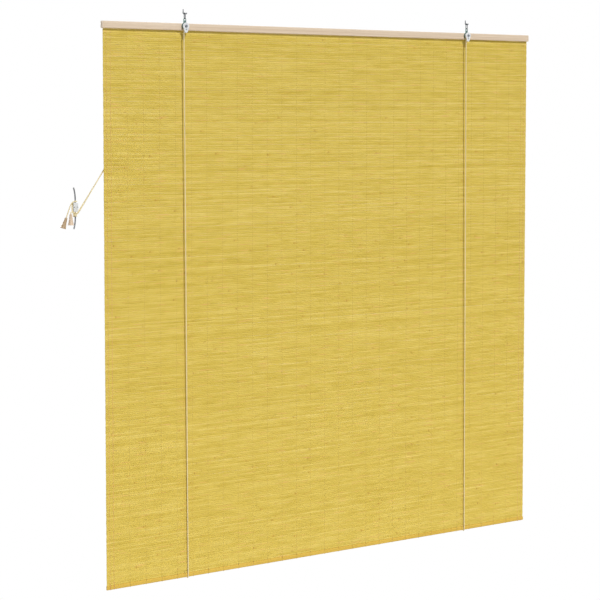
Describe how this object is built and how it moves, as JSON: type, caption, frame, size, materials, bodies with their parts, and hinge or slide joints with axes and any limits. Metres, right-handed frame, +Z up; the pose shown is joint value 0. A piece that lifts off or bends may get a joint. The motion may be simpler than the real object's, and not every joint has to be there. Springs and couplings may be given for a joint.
{
  "type": "bamboo roll-up blind",
  "caption": "Lowered roll-up blind of bamboo reeds bound by threads, hung from ceiling hooks on pulley hangers, with lift cords tied off on a side cleat.",
  "frame": {"origin": "on the ceiling face, midway between the shanks of the two screw hooks", "axes": "+Z up, +X to the right along the rail, +Y to the back; the blind's front faces -Y"},
  "size_m": [1.63, 0.0405, 1.6434],
  "materials": {
    "reed": "matte split bamboo",
    "rail_wood": "planed",
    "thread": "twisted",
    "cord": "braided",
    "zinc": "zinc plated",
    "bolt_steel": "plain",
    "white_paint": "satin",
    "nylon": "moulded",
    "cleat_white": "moulded",
    "cleat_steel": "drawn",
    "tassel_tan": "turned",
    "tassel_pale": "turned"
  },
  "bodies": {
    "blind": {"anchor_screws": "zinc", "axle_nuts": "zinc", "axle_washers": "zinc", "back_batten": "rail_wood", "bottom_slat": "reed", "cheek_rivets": "zinc", "cleat_block": "cleat_white", "cleat_bottom_turns": "cord", "cleat_rod": "cleat_steel", "cleat_top_turns": "cord", "front_batten": "rail_wood", "left_axle_bolt": "bolt_steel", "left_bracket": "zinc", "left_cheek": "white_paint", "left_cord_end": "cord", "left_guide_eye": "zinc", "left_hook": "zinc", "left_lift_cord": "cord", "left_link": "zinc", "left_tail": "cord", "left_tassel": "tassel_tan", "pull_eye": "zinc", "rail_pins": "zinc", "reed_mat": "reed", "right_axle_bolt": "bolt_steel", "right_bracket": "zinc", "right_cheek": "white_paint", "right_cord_end": "cord", "right_guide_eye": "zinc", "right_hook": "zinc", "right_lift_cord": "cord", "right_link": "zinc", "right_tail": "cord", "right_tassel": "tassel_pale", "tassel_knots": "cord", "warp_threads": "thread"},
    "left_wheel": {"left_sheave": "nylon"},
    "right_wheel": {"right_sheave": "nylon"}
  },
  "joints": [
    {"name": "left_sheave_spin", "type": "hinge", "parent": "blind", "child": "left_wheel", "pos_m": [-0.495, -0.00465, -0.041], "axis": [0, 1, 0], "continuous": true},
    {"name": "right_sheave_spin", "type": "hinge", "parent": "blind", "child": "right_wheel", "pos_m": [0.505, -0.00465, -0.041], "axis": [0, 1, 0], "continuous": true}
  ]
}
